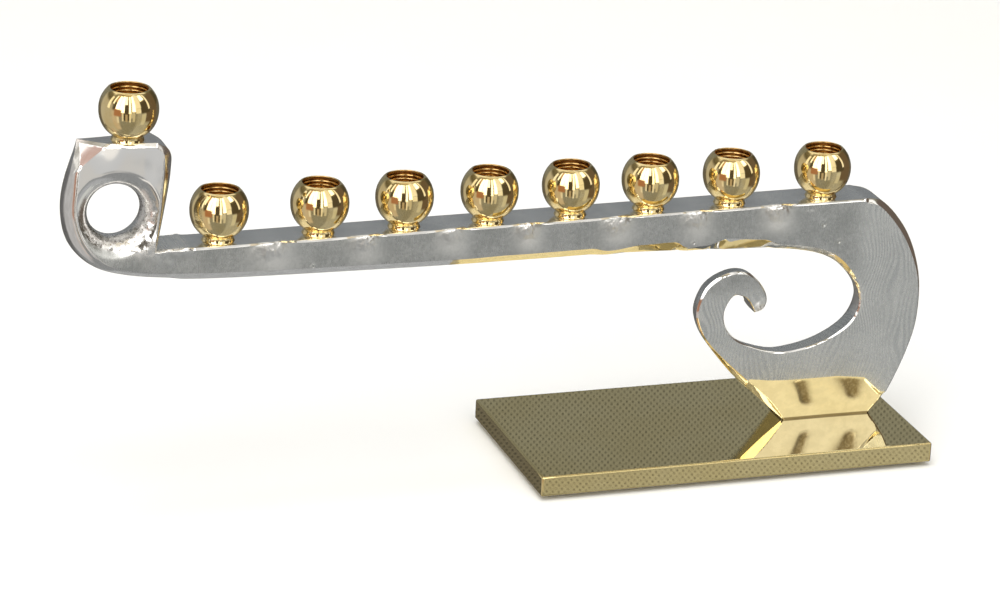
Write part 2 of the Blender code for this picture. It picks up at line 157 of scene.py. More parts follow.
def linked(name, data):
    thing = bpy.data.objects.new(name, data)
    bpy.context.scene.collection.objects.link(thing)
    return thing


def mesh_from(work, name):
    """Ends a bmesh and gives the mesh made from it."""
    mesh = bpy.data.meshes.new(name)
    work.to_mesh(mesh)
    work.free()
    return mesh


def new_piece(name, vertices, faces, materials, face_slots=None):
    mesh = bpy.data.meshes.new(name)
    mesh.from_pydata([tuple(vertex) for vertex in vertices], [], faces)
    for material in materials:
        mesh.materials.append(material)
    if face_slots is not None:
        mesh.polygons.foreach_set("material_index", face_slots)
    return linked(name, mesh)


def shade(piece, sharp_angle):
    piece.data.shade_smooth()
    piece.data.set_sharp_from_angle(angle=math.radians(sharp_angle))


def clean(piece, merge, sharp_angle):
    """Merges what meets, turns the faces outward and shades the piece smooth up to an angle."""
    work = bmesh.new()
    work.from_mesh(piece.data)
    bmesh.ops.remove_doubles(work, verts=work.verts, dist=merge)
    bmesh.ops.dissolve_degenerate(work, edges=work.edges, dist=merge)
    bmesh.ops.recalc_face_normals(work, faces=work.faces)
    work.to_mesh(piece.data)
    work.free()
    shade(piece, sharp_angle)


def install(piece, node):
    """The piece rides with the part's one body and stands for a CAD node."""
    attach(piece, "root")
    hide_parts(node)


# ---- the casting's outline

def beam_top(x):
    (left, low), (right, high) = BEAM_LEFT_TOP, BEAM_RIGHT_TOP
    return low + (high - low) * (x - left) / (right - left)


def outline_runs():
    """The outline, anticlockwise from the front, as runs between corners.

    Each point has x, the height above the foot, the width of the front bevel, and the inset and the
    depth of the back's rounding.
    """
    beam_right = (*BEAM_RIGHT_TOP, 1.0, 0.5, 0.5)
    beam_left = (*BEAM_LEFT_TOP, 1.0, 0.5, 0.5)
    curl_right = (-166.4, CURL_TOP, 1.0, 1.0, 1.0)
    curl_left = (-187.0, CURL_TOP, 0.7, 1.0, 1.0)
    curl_side = [beam_left, (-163.4, 77.0, 2.6, 2.0, 3.0), (-161.7, 88.0, 3.2, 2.0, 3.0),
                 (-162.8, 94.2, 2.0, 2.0, 3.0), curl_right]
    underside = [(-187.0, CURL_TOP, 0.6, 2.0, 3.0), (-190.0, 87.0, 2.2, 2.5, 3.0),
                 (-191.3, 77.0, 3.2, 3.0, 3.5), (-189.6, 68.2, 4.0, 3.0, 3.5),
                 (-184.4, 62.0, 3.6, 3.0, 3.5), (-176.1, 59.1, 2.4, 2.5, 3.0),
                 (-161.2, 57.0, 2.3, 2.0, 2.5), (-133.6, 56.0, 2.3, 2.0, 2.5),
                 (-64.0, 55.3, 2.3, 2.0, 2.5), (-25.0, 55.4, 2.3, 2.0, 2.5),
                 (4.0, 54.4, 2.3, 2.0, 2.5), (18.5, 53.6, 2.2, 2.0, 2.5)]
    opening = [(29.6, 51.6, 1.8, 4.0, 6.0), (36.6, 48.2, 1.5, 6.0, 9.0), (42.2, 42.2, 0.8, 8.0, 11.5),
               (44.3, 36.0, 0.4, 8.8, 12.5), (42.3, 30.0, 0.4, 8.8, 12.5), (36.5, 25.6, 0.4, 8.5, 12.5),
               (28.5, 22.7, 0.4, 8.0, 12.2), (20.0, 21.9, 0.4, 6.5, 10.2), (11.9, 24.1, 0.4, 5.0, 8.2),
               (6.2, 26.9, 0.4, 3.8, 7.0), (2.6, 31.2, 0.4, 3.0, 6.4), (2.1, 36.2, 0.3, 2.2, 6.0),
               (4.8, 40.5, 0.3, 1.8, 6.0), (8.4, 39.5, 0.3, 1.2, 6.0), (10.4, 36.9, 0.3, 0.8, 6.0),
               (11.4, 34.9, 0.3, 0.5, 6.0)]
    arm = [(11.4, 34.9, 0.3, 0.5, 6.0), (14.4, 36.2, 0.4, 0.7, 6.0), (14.9, 39.6, 0.5, 1.5, 6.0),
           (12.6, 43.8, 0.5, 2.0, 6.0), (8.8, 47.0, 0.5, 2.8, 6.2), (4.0, 47.7, 0.6, 3.2, 6.2),
           (-1.0, 46.0, 0.65, 3.4, 6.2), (-4.7, 42.4, 0.6, 3.4, 6.2), (-6.6, 36.2, 0.5, 3.0, 6.2),
           (-5.0, 30.2, 0.4, 2.5, 6.0), (-1.0, 24.2, 0.6, 2.5, 6.0), (6.6, 15.3, 1.7, 2.5, 6.0),
           (16.3, 6.4, 1.8, 2.5, 5.0), (FOOT_LEFT, 0.0, 0.4, 2.0, 3.0)]
    foot = [(FOOT_LEFT, 0.0, 0.0, 0.4, 0.4), (FOOT_RIGHT, 0.0, 0.0, 0.4, 0.4)]
    outer = [(FOOT_RIGHT, 0.0, 0.4, 2.5, 4.0), (54.7, 5.3, 0.4, 2.5, 4.0), (58.0, 12.0, 0.4, 3.0, 5.0),
             (60.9, 19.5, 0.4, 3.0, 6.0), (62.9, 27.2, 0.4, 3.0, 6.0), (63.4, 35.6, 0.5, 3.0, 6.0),
             (62.8, 43.0, 0.8, 3.0, 5.0), (60.8, 50.6, 1.5, 3.0, 4.0), (57.7, 57.0, 1.8, 2.5, 4.0),
             (53.2, 62.8, 1.8, 2.5, 3.0), (48.8, 66.4, 1.5, 2.0, 2.0), beam_right]
    return {"top": [beam_right, beam_left], "curl_side": curl_side, "curl_top": [curl_right, curl_left],
            "underside": underside + opening, "arm": arm, "foot": foot, "outer": outer}


RUNS = outline_runs()
RUN_NAMES = list(RUNS)


def resampled(knots):
    """Evenly spaced points on a smooth curve through the knots, without the last one."""
    knots = np.array(knots, float)
    padded = np.vstack([2 * knots[0] - knots[1], knots, 2 * knots[-1] - knots[-2]])
    t = np.linspace(0.0, 1.0, 60, endpoint=False)[:, None]
    pieces = []
    for index in range(1, len(padded) - 2):
        a, b, c, d = padded[index - 1:index + 3]
        square = (2 * a - 5 * b + 4 * c - d) * t ** 2
        cube = (3 * b - a - 3 * c + d) * t ** 3
        pieces.append(b + 0.5 * ((c - a) * t + square + cube))
    curve = np.vstack(pieces + [knots[-1:]])
    steps = np.linalg.norm(np.diff(curve[:, :2], axis=0), axis=1)
    length = np.concatenate([[0.0], np.cumsum(steps)])
    count = max(2, round(length[-1] / OUTLINE_STEP))
    places = np.linspace(0.0, length[-1], count, endpoint=False)
    return np.stack([np.interp(places, length, column) for column in curve.T], axis=1)


def sampled_outline():
    """Outline points, each with its edge finish and the number of its run."""
    samples = []
    run_of = []
    for number, name in enumerate(RUN_NAMES):
        run = resampled(RUNS[name])
        if name == "top":
            nearest = np.max([gauss(run[:, 0] - lump[0], 5.5) for lump in LUMPS], axis=0)
            run[:, 2] = TOP_BEVEL - (TOP_BEVEL - TOP_BEVEL_AT_LUMPS) * nearest
        if name == "underside":
            beam = run[:, 1] > UNDER_BEAM
            wavy = eased(LOW_BEVEL, run[:, 0])
            share = smoothstep((run[:, 0] + 172.0) / 12.0) * beam * (run[:, 0] < LOW_BEVEL[-1][0])
            run[:, 2] += (wavy - run[:, 2]) * share
        samples.append(run)
        run_of += [number] * len(run)
    samples = np.vstack(samples)
    return samples[:, :2], samples[:, 2:], np.array(run_of)


def back_of(points):
    """How far back the casting reaches at each outline point: the spiral thins towards its tip."""
    x, height = points.T
    share = (x - BEAM_LEFT_TOP[0]) / (BEAM_RIGHT_TOP[0] - BEAM_LEFT_TOP[0])
    full = BACK_LEFT + (BACK_RIGHT - BACK_LEFT) * np.clip(share, 0.0, 1.0)
    thinned = BACK_SPIRAL + (full - BACK_SPIRAL) * smoothstep(x / THIN_FROM)
    return np.where(height > UNDER_BEAM, full, thinned)


def inset_ring(points, distances):
    """Moves the outline in by its distances, mitring sharp corners and trimming what would fold there."""
    before = np.roll(distances, 1)
    arriving = unit(points - np.roll(points, 1, axis=0))
    leaving = unit(np.roll(points, -1, axis=0) - points)
    normal_a = np.stack([-arriving[:, 1], arriving[:, 0]], axis=1)
    normal_b = np.stack([-leaving[:, 1], leaving[:, 0]], axis=1)
    turn = normal_a[:, 0] * normal_b[:, 1] - normal_a[:, 1] * normal_b[:, 0]
    ring = points + unit(normal_a + normal_b) * ((before + distances) / 2)[:, None]
    for corner in np.nonzero(np.abs(turn) >= MITRE_TURN)[0]:
        a, b = normal_a[corner], normal_b[corner]
        offset = np.array([before[corner] * b[1] - distances[corner] * a[1],
                           distances[corner] * a[0] - before[corner] * b[0]]) / turn[corner]
        ring[corner] = points[corner] + offset
        if turn[corner] > 0:
            trim(ring, points, corner, -1, -np.dot(offset, arriving[corner]))
            trim(ring, points, corner, 1, np.dot(offset, leaving[corner]))
    return ring


def trim(ring, points, corner, direction, reach):
    """Collapses the neighbours of a mitred corner, up to `reach` along the outline, onto the corner."""
    travelled = 0.0
    index = corner
    while True:
        following = (index + direction) % len(points)
        travelled += np.linalg.norm(points[following] - points[index])
        if travelled > reach * 1.02:
            return
        ring[following] = ring[corner]
        index = following


def body_rings():
    """Rings from the front face's edge to the back face's edge, in millimetres, and each point's run."""
    points, finish, run_of = sampled_outline()
    bevel, inset, depth = finish.T
    back = back_of(points)
    x, height = points.T
    rounded = smoothstep((ROUND_TO - x) / 8.0) * smoothstep((CURL_TOP - 3.0 - height) / 6.0)
    roundness = BEVEL_ROUNDNESS + (CURL_ROUNDNESS - BEVEL_ROUNDNESS) * rounded
    reach = np.minimum(bevel * (1.0 + (CURL_REACH - 1.0) * rounded), DEEPEST_REACH)
    over_spiral = (run_of == RUN_NAMES.index("underside")) * smoothstep((x - SPIRAL_FROM) / 14.0)
    shallower = np.minimum(bevel, PLAIN_BEVEL - SPIRAL_SHARE * (bevel - PLAIN_BEVEL))
    reach += over_spiral * (shallower - bevel)
    rings = []
    for step in range(BEVEL_STEPS + 1):
        angle = math.radians(90.0 * (1.0 - step / BEVEL_STEPS))
        across = max(math.cos(angle), 0.0) ** (2.0 / roundness)
        along = max(math.sin(angle), 0.0) ** (2.0 / roundness)
        rings.append((inset_ring(points, bevel * (1.0 - across)), FRONT + reach * (1.0 - along)))
    for step in range(1, SIDE_STEPS):
        start = FRONT + reach
        rings.append((points.copy(), start + (back - depth - start) * step / SIDE_STEPS))
    for step in range(BACK_STEPS + 1):
        angle = math.radians(90.0 * step / BACK_STEPS)
        rings.append((inset_ring(points, inset * (1.0 - math.cos(angle))),
                      back - depth * (1.0 - math.sin(angle))))
    stacked = [np.stack([ring[:, 0], y, ring[:, 1]], axis=1) for ring, y in rings]
    return stacked, run_of


# ---- the casting's mesh

def inside(polygon, points):
    """Which points lie inside a polygon, and how far every point is from its nearest corner."""
    starts, ends = polygon, np.roll(polygon, -1, axis=0)
    within = np.zeros(len(points), bool)
    nearest = np.zeros(len(points))
    for index, (x, z) in enumerate(points):
        rising = (starts[:, 1] > z) != (ends[:, 1] > z)
        span = np.where(rising, ends[:, 1] - starts[:, 1], 1.0)
        crossing = starts[:, 0] + (z - starts[:, 1]) * (ends[:, 0] - starts[:, 0]) / span
        within[index] = np.count_nonzero(rising & (x < crossing)) % 2
        nearest[index] = np.min((starts[:, 0] - x) ** 2 + (starts[:, 1] - z) ** 2)
    return within, np.sqrt(nearest)


def grid(low, high, step):
    """A staggered grid of points over a rectangle."""
    rows = []
    for row, z in enumerate(np.arange(low[1], high[1], step * 0.87)):
        xs = np.arange(low[0] + (row % 2) * step / 2, high[0], step)
        rows.append(np.stack([xs, np.full(len(xs), z)], axis=1))
    return np.vstack(rows)


def face_points(ring, hole, step, detailed):
    """Points to fill a flat face with: a coarse grid, and finer ones where the surface has detail."""
    parts = [grid(ring.min(0), ring.max(0), step)]
    if detailed:
        parts += [grid(low, high, FINE_GRID) for low, high in FINE_AREAS]
        for x, z, half, _ in LUMPS:
            parts.append(grid((x - 2.2 * half, z - 7.0), (x + 2.2 * half, z + 3.0), LUMP_GRID))
        for x, z, radius, _ in PITS:
            reach = 3 * radius
            parts.append(grid((x - reach, z - reach), (x + reach, z + reach), radius / 2.5))
    kept = np.zeros((0, 2))
    for number, part in enumerate(parts):
        clear = 0.55 * (step if number == 0 else 0.35)
        within, nearest = inside(ring, part)
        away = np.linalg.norm(part - EYE, axis=1) > hole + clear
        kept = np.vstack([kept, part[within & (nearest > clear) & away]])
    return kept


def fill_face(ring, hole, step, detailed, lines):
    """Triangles of a flat face between its ring and the eye's hole.

    Gives the added points and the triangles, numbered over ring, hole, lines and grid points in turn.
    """
    circle = hole_circle(hole)
    points = np.vstack([ring, circle] + lines + [face_points(ring, hole, step, detailed)])
    edges = []
    start = 0
    for loop, closed in [(ring, 1), (circle, 1)] + [(line, 0) for line in lines]:
        count = len(loop)
        edges += [(start + index, start + (index + 1) % count) for index in range(count - 1 + closed)]
        start += count
    result = delaunay_2d_cdt([Vector(point) for point in points], edges, [], 1, 1e-5)
    placed, triangles, origins = result[0], result[2], result[3]
    centre = Vector(EYE)
    kept = []
    for triangle in triangles:
        middle = sum((placed[index] for index in triangle), Vector((0.0, 0.0))) / 3.0
        if (middle - centre).length > hole * 0.995:
            kept.append([origins[index][0] for index in triangle])
    return points, kept


def hole_circle(radius):
    turns = np.linspace(0.0, 2 * np.pi, EYE_SEGMENTS, endpoint=False)
    return np.stack([EYE[0] + radius * np.cos(turns), EYE[1] + radius * np.sin(turns)], axis=1)


def eye_mouth(depth):
    """Radius of the flared eye where it meets a face `depth` from the middle."""
    return EYE_THROAT + EYE_FLARE - EYE_FLARE * math.sqrt(1.0 - (depth / EYE_LIP) ** 2)


def crease_line(edge):
    """Points along the edge of a facet."""
    pairs = np.array(sorted(edge))
    xs = np.arange(pairs[0, 0], pairs[-1, 0], 0.4)
    return np.stack([xs, np.interp(xs, pairs[:, 0], pairs[:, 1])], axis=1)


def body_geometry():
    """Vertices in millimetres, faces, and for each face the slot of its material."""
    rings, run_of = body_rings()
    count = len(run_of)
    vertices = list(np.vstack(rings))
    faces = []
    slots = []
    on_top = run_of == RUN_NAMES.index("top")
    for level in range(len(rings) - 1):
        a, b = level * count, (level + 1) * count
        slot = EDGE_SLOT if level < BEVEL_STEPS + SIDE_STEPS else SATIN_SLOT
        for index in range(count):
            following = (index + 1) % count
            faces.append((a + index, b + index, b + following, a + following))
            slots.append(TOP_SLOT if on_top[index] and level >= BEVEL_STEPS else slot)
    circles = []
    for front, first, y in ((True, 0, FRONT), (False, (len(rings) - 1) * count, BACK_LEFT)):
        ring = rings[0 if front else -1][:, [0, 2]]
        creases = [FACET_EDGE, CORNER_EDGE] if front else []
        lines = [inner_line(crease_line(edge), ring) for edge in creases]
        points, triangles = fill_face(ring, eye_mouth(y), COARSE_GRID if front else BACK_GRID, front, lines)
        added = points[count:]
        depth = np.full(len(added), FRONT) if front else back_of(added)
        start = len(vertices) - count
        vertices += list(np.stack([added[:, 0], depth, added[:, 1]], axis=1))
        circles.append(start + count)
        faces += [[first + i if i < count else start + i for i in triangle] for triangle in triangles]
        slots += [SATIN_SLOT] * len(triangles)
    add_eye_wall(vertices, faces, slots, *circles)
    return np.array(vertices), faces, slots


def inner_line(line, ring):
    """The stretch of a line that lies inside the ring, clear of it."""
    within, nearest = inside(ring, line)
    return line[within & (nearest > 0.3)]


def add_eye_wall(vertices, faces, slots, front_circle, back_circle):
    """The flared wall of the eye, from the front circle to the back one."""
    steepest = math.asin(-FRONT / EYE_LIP)
    previous = front_circle
    for step in range(1, EYE_STEPS + 1):
        if step == EYE_STEPS:
            current = back_circle
        else:
            angle = -steepest + 2 * steepest * step / EYE_STEPS
            current = len(vertices)
            circle = hole_circle(EYE_THROAT + EYE_FLARE * (1.0 - math.cos(angle)))
            vertices += [np.array([x, EYE_LIP * math.sin(angle), z]) for x, z in circle]
        for index in range(EYE_SEGMENTS):
            following = (index + 1) % EYE_SEGMENTS
            faces.append((previous + index, previous + following, current + following, current + index))
            slots.append(EDGE_SLOT)
        previous = current


# ---- the casting's relief

CURL_FROM = -165.0  # x: left of this the curl turns back from the front
CURL_TWIST = 0.16  # how far it goes back for each millimetre, at the top
CURL_BACK = 3.3  # how much thinner the curl gets at its back, top left
CURL_TWIST_ABOVE = 62.0  # the twist grows from this height over CURL_TWIST_RISE
CURL_TWIST_RISE = 35.0
CURL_THIN_ABOVE = 80.0  # the thinning grows from this height over CURL_THIN_RISE
CURL_THIN_RISE = 17.0
CURL_THIN_REACH = 22.0  # and over this far to the left
CORNER_EDGE = ((-179.6, 96.9), (-190.4, 88.0))
CORNER_LEAN = 1.0
CORNER_CURVE = 0.01
DISH_RADIUS = 12.8  # where the eye's shallow dish begins
DISH_CURVE = 0.10


def corner_depth(x, z):
    """How far back the facet on the curl's top left corner goes."""
    (x0, z0), (x1, z1) = CORNER_EDGE
    length = math.hypot(x1 - x0, z1 - z0)
    beyond = np.maximum(((x - x0) * (z1 - z0) - (z - z0) * (x1 - x0)) / length, 0.0)
    return CORNER_LEAN * beyond + CORNER_CURVE * beyond ** 2


def curl_shape(points):
    """The curl leans back to the left and thins there, with a facet on its top corner."""
    x, y, z = points.T
    along = np.maximum(CURL_FROM - x, 0.0)
    raised = np.clip((z - CURL_TWIST_ABOVE) / CURL_TWIST_RISE, 0.0, 1.0) ** 1.5
    front = CURL_TWIST * along * raised + corner_depth(x, z) + dish_depth(x, z)
    thinned = np.clip(along / CURL_THIN_REACH, 0.0, 1.0) * smoothstep((z - CURL_THIN_ABOVE) / CURL_THIN_RISE)
    share = np.clip((BACK_LEFT - y) / (BACK_LEFT - FRONT), 0.0, 1.0)
    y += front * share - CURL_BACK * thinned * (1.0 - share)


def dish_depth(x, z):
    """A shallow dish that leads the front smoothly into the flare of the eye."""
    radius = np.hypot(x - EYE[0], z - EYE[1])
    mouth = eye_mouth(FRONT)
    outside = DISH_CURVE * np.maximum(DISH_RADIUS - np.maximum(radius, mouth), 0.0) ** 2
    return outside * smoothstep((radius - EYE_THROAT) / (mouth - EYE_THROAT))


def spot_mask(points, spots, shift=(0.0, 0.0), widening=1.0, half_height=None):
    """Soft spots on the front, one for each x, height, half width and strength."""
    mask = np.zeros(len(points))
    for x, z, half, strength in spots:
        across = gauss(points[:, 0] - x - shift[0], widening * half)
        mask += strength * across * gauss(points[:, 2] - z - shift[1], half_height or half)
    return mask


def dish_mask(points):
    """The rough inside of the eye's mouth, roughest low down and at the right."""
    x, y, z = points.T
    radius = np.hypot(x - EYE[0], z - EYE[1])
    ring = smoothstep((11.2 - radius) / 1.6) * smoothstep((radius - 6.8) / 0.8)
    toward = (0.45 * (x - EYE[0]) - 0.9 * (z - EYE[1])) / np.maximum(radius, 1e-6)
    lower = 0.18 + 0.82 * smoothstep((toward + 0.35) / 0.9)
    return ring * lower * smoothstep((2.0 - y) / 3.0)


def rough_edge_mask(points):
    """The edge of the opening was left rough where it turns from the beam down into the scroll."""
    edge = resampled([(x, z, 0.0) for x, z in ROUGH_EDGE])[:, :2]
    x, y, z = points.T
    near = np.nonzero((x > 14.0) & (x < 48.0) & (z > 24.0) & (z < 56.0) & (y < 1.0))[0]
    mask = np.zeros(len(points))
    for index in near:
        away = np.sqrt(np.min((edge[:, 0] - x[index]) ** 2 + (edge[:, 1] - z[index]) ** 2))
        mask[index] = 0.75 * gauss(away, 0.9)
    return mask


def front_share(points, reach=3.0):
    return np.clip(1.0 - (points[:, 1] - FRONT) / reach, 0.0, 1.0)


def add_cast_lumps(points):
    """Lumps along the front's top edge with rough skin fading out below them, weld-like lumps under the
    curl, and the rough dish and tip."""
    lumps = spot_mask(points, LUMPS, (0.0, 0.6), 1.0, 2.3)
    haze = 0.7 * spot_mask(points, LUMPS, (0.5, -3.0), 1.35, 3.6)
    welds = spot_mask(points, WELDS)
    rough = dish_mask(points)
    tip = np.maximum(spot_mask(points, [SPIRAL_TIP]), rough_edge_mask(points))
    front = front_share(points)
    chosen = np.nonzero(lumps + haze + welds + rough + tip > 0.02)[0]
    pebbles, grains = np.zeros((2, len(points)))
    pebbles[chosen] = noise_at(points[chosen], 1.5, 3.0)
    grains[chosen] = noise_at(points[chosen], 0.62, 9.0)
    texture = 0.55 * pebbles + 0.3 * grains
    x, y, z = points.T
    upper = smoothstep((z - 62.5) / 3.0)
    y -= front * lumps * (0.9 + 0.55 * texture)
    z += front_share(points, 4.5) * lumps * upper * (0.85 + 0.4 * pebbles)
    y -= front * haze * (0.10 + 0.09 * texture)
    y -= front_share(points, 5.0) * welds * (0.5 + 0.5 * texture)
    z += welds * (0.25 + 0.45 * texture) * (z < 73.0) * (z > 64.5)
    y -= rough * (0.34 * pebbles + 0.10 * grains)
    y -= front * tip * (0.15 + 0.7 * texture)
    return np.clip(np.maximum.reduce([lumps, welds, rough * 0.9, tip]), 0.0, 1.0), np.clip(haze, 0.0, 1.0)


def add_pits(points):
    """Open pits with a raised lip, and one slit under the last cup."""
    front = front_share(points, 0.5)
    x, y, z = points.T
    for pit_x, pit_z, radius, depth in PITS:
        away = np.hypot(x - pit_x, z - pit_z)
        y += front * (depth * gauss(away, radius) - PIT_LIP * gauss(away - 1.6 * radius, radius))
    (left, right), height, half_width, depth = SLIT
    along = smoothstep((x - left) / 0.8) * smoothstep((right - x) / 0.8)
    y += front * depth * along * gauss(z - height + 0.03 * (x - 24.0), half_width)


def add_hand_finish(points):
    """The slight waviness of faces that were finished by hand, deeper where the curl was buffed."""
    wave = noise_at(points, 14.0, 5.0) * 0.10 + noise_at(points, 5.0, 7.0) * 0.03
    swirl = noise_at(points, 11.0, 1.0) * 0.42 + noise_at(points, 5.5, 8.0) * 0.10
    curl = smoothstep((-160.0 - points[:, 0]) / 8.0)
    points[:, 1] += front_share(points, 9.0) * (wave + swirl * curl)


def add_foot_facet(points):
    """The leaning facet on the foot's front, with two shallow flutes ground into it."""
    x, y, z = points.T
    edge_x, edge_z = np.array(FACET_EDGE).T
    edge = np.interp(x, edge_x, edge_z)
    within = (x > edge_x[0]) & (z < np.minimum(edge, edge_z[0]))
    top = edge + FACET_TURN * np.maximum(x - edge_x[-2], 0.0) * smoothstep((edge - z) / 1.2)
    below = np.where(within, np.maximum(top - z, 0.0), 0.0)
    share = np.clip(1.0 - (y - FRONT) / 8.0, 0.0, 1.0)
    left = gauss(x - 28.0 - 0.42 * (11.0 - z), 1.5 + 0.06 * (z - 3.0))
    right = gauss(x - 43.6 - 0.30 * (11.0 - z), 0.9 + 0.34 * (z - 3.0)) * smoothstep((z - 3.6) / 3.0)
    flutes = 0.22 * left + 0.24 * right
    fade = smoothstep(below / 1.2) * smoothstep((z - 3.0) / 2.5)
    y += share * (FACET_LEAN * below + flutes * fade * 0.9)
    return np.clip(flutes * fade * share * 6.0, 0.0, 1.0)


def polished_share(points):
    """1 on the hand-polished curl and 0 on the brushed flat of the beam and the scroll."""
    x, _, z = points.T
    edge = np.interp(x, [-192.0, -188.0, -182.0, -178.0, -171.0, -165.0, -158.0],
                     [77.0, 73.5, 69.3, 67.2, 65.2, 65.0, 68.0])
    wobble = 0.8 * noise_at(points, 4.0, 2.0)
    return smoothstep((z - edge + wobble) / 2.4 + 0.4) * (x < -150.0)


def lined_share(points):
    """How deep the brush lines are: deep on the scroll, faint along the beam."""
    x, _, z = points.T
    scroll = np.maximum(smoothstep((x - 36.0) / 14.0), smoothstep((46.0 - z) / 10.0) * (x > -20.0))
    return 0.12 + 0.88 * scroll


def in_foot_facet(middle):
    edge_x, edge_z = np.array(FACET_EDGE).T
    return edge_x[0] < middle[0] < edge_x[-1] and middle[2] < np.interp(middle[0], edge_x, edge_z)


def make_body():
    vertices, faces, slots = body_geometry()
    middles = np.array([vertices[list(face)].mean(axis=0) for face in faces])
    for index, middle in enumerate(middles):
        if slots[index] == SATIN_SLOT and middle[1] < FRONT + 0.01 and in_foot_facet(middle):
            slots[index] = EDGE_SLOT
    polish = polished_share(vertices)
    lined = lined_share(vertices)
    curl_shape(vertices)
    dull = add_foot_facet(vertices)
    add_hand_finish(vertices)
    cast, haze = add_cast_lumps(vertices)
    add_pits(vertices)
    vertices[:, 0] = np.clip(vertices[:, 0], BODY_LOW.x / MM, BODY_HIGH.x / MM)
    low = vertices[:, 2] < 0.01
    placed = vertices * MM + np.array([0.0, 0.0, STAND])
    placed[low, 2] = PLATE_HIGH.z
    materials = [brushed_face(), polished_edge(), top_face()]
    body = new_piece("scroll_body", placed, faces, materials, slots)
    masks = {"polish": polish, "cast": cast, "haze": haze, "dull": dull, "lined": lined}
    for name, values in masks.items():
        layer = body.data.attributes.new(name, "FLOAT", "POINT")
        layer.data.foreach_set("value", np.array(values, dtype=np.float32))
    clean(body, 0.004 * MM, 34.0)
    install(body, "scroll_casting")
    return body


# ---- turned pieces

def turned_mesh(profile, segments, closed):
    """Vertices and faces of a profile of (radius, height) turned about the upright axis."""
    turns = np.linspace(0.0, 2 * np.pi, segments, endpoint=False)
    vertices = []
    for radius, height in profile:
        vertices += [(radius * math.cos(turn), radius * math.sin(turn), height) for turn in turns]
    faces = []
    last = len(profile) if closed else len(profile) - 1
    for row in range(last):
        a, b = row * segments, (row + 1) % len(profile) * segments
        for index in range(segments):
            following = (index + 1) % segments
            faces.append((a + index, b + index, b + following, a + following))
    return np.array(vertices), faces


def arc_points(radius, start, end, steps, centre=(0.0, 0.0)):
    angles = np.radians(np.linspace(start, end, steps + 1))
    return [(centre[0] + radius * math.cos(a), centre[1] + radius * math.sin(a)) for a in angles]


CUP_RADIUS = 8.2
CUP_HEIGHT = 8.85
CUP_FULLNESS = 2.12  # exponent of the lower half's outline: 2 is a circle
CUP_STRETCH = 1.035
RIM_RADIUS = 5.65
RIM_ROUND = 0.22
BORE_RADIUS = 5.15
BORE_FLOOR = -4.6
BORE_GROOVE = 0.13
BORE_PITCH = 1.05
NECK_TOP = 4.35
NECK_FOOT = 4.75
SCREW_RADIUS = 1.45
SLOT_WIDTH = 0.7
SLOT_DEPTH = 0.7
SLOT_TURN = 35.0
CUP_SEGMENTS = 112
# degrees that each cup leans to the front and to the right, the servant cup first
CUP_TILTS = [(0.8, 0.9), (-0.6, 0.8), (0.5, 1.0), (-0.8, -0.4), (0.9, 0.6),
             (-0.5, -1.1), (0.6, 0.3), (-0.9, 0.7), (0.7, -0.9)]


def cup_profile():
    """Millimetres from the ball's centre: the ball, its neck, the screw's hole, and the grooved bore."""
    rim_height = math.sqrt(CUP_RADIUS ** 2 - RIM_RADIUS ** 2)
    top = math.degrees(math.atan2(rim_height, RIM_RADIUS))
    round_share = (1.0 - (NECK_TOP / CUP_RADIUS) ** CUP_FULLNESS) ** (1.0 / CUP_FULLNESS)
    neck_height = -CUP_RADIUS * round_share * CUP_STRETCH
    bottom = -math.degrees(math.asin(round_share))
    foot = -CUP_HEIGHT - 0.1
    profile = [full_below(point) for point in arc_points(CUP_RADIUS, top - 1.5, bottom + 1.0, 46)]
    profile += [(NECK_TOP + 0.02, neck_height - 0.10), (NECK_TOP, neck_height - 0.22),
                (NECK_TOP + 0.02, neck_height - 0.5), (NECK_TOP + 0.12, foot + 0.5),
                (NECK_FOOT - 0.1, foot + 0.18), (NECK_FOOT, foot + 0.08), (NECK_FOOT, foot)]
    profile += [(SCREW_RADIUS, foot), (SCREW_RADIUS, BORE_FLOOR), (BORE_RADIUS - 0.6, BORE_FLOOR)]
    profile += arc_points(0.6, 270.0, 360.0, 4, (BORE_RADIUS - 0.6, BORE_FLOOR + 0.6))
    for height in np.arange(BORE_FLOOR + 0.9, rim_height - 0.45, BORE_PITCH / 8):
        wave = 0.5 - 0.5 * math.cos(2 * math.pi * height / BORE_PITCH)
        profile.append((BORE_RADIUS + BORE_GROOVE * wave ** 2, height))
    profile += arc_points(RIM_ROUND, 180.0, 55.0, 5, (BORE_RADIUS + RIM_ROUND, rim_height - RIM_ROUND))
    return profile


def full_below(point):
    """The ball's lower half is a little fuller than a true sphere."""
    radius, height = point
    if height >= 0.0:
        return point
    depth = -height / CUP_RADIUS
    fuller = CUP_RADIUS * (1.0 - depth ** CUP_FULLNESS) ** (1.0 / CUP_FULLNESS)
    return (fuller, height * CUP_STRETCH)


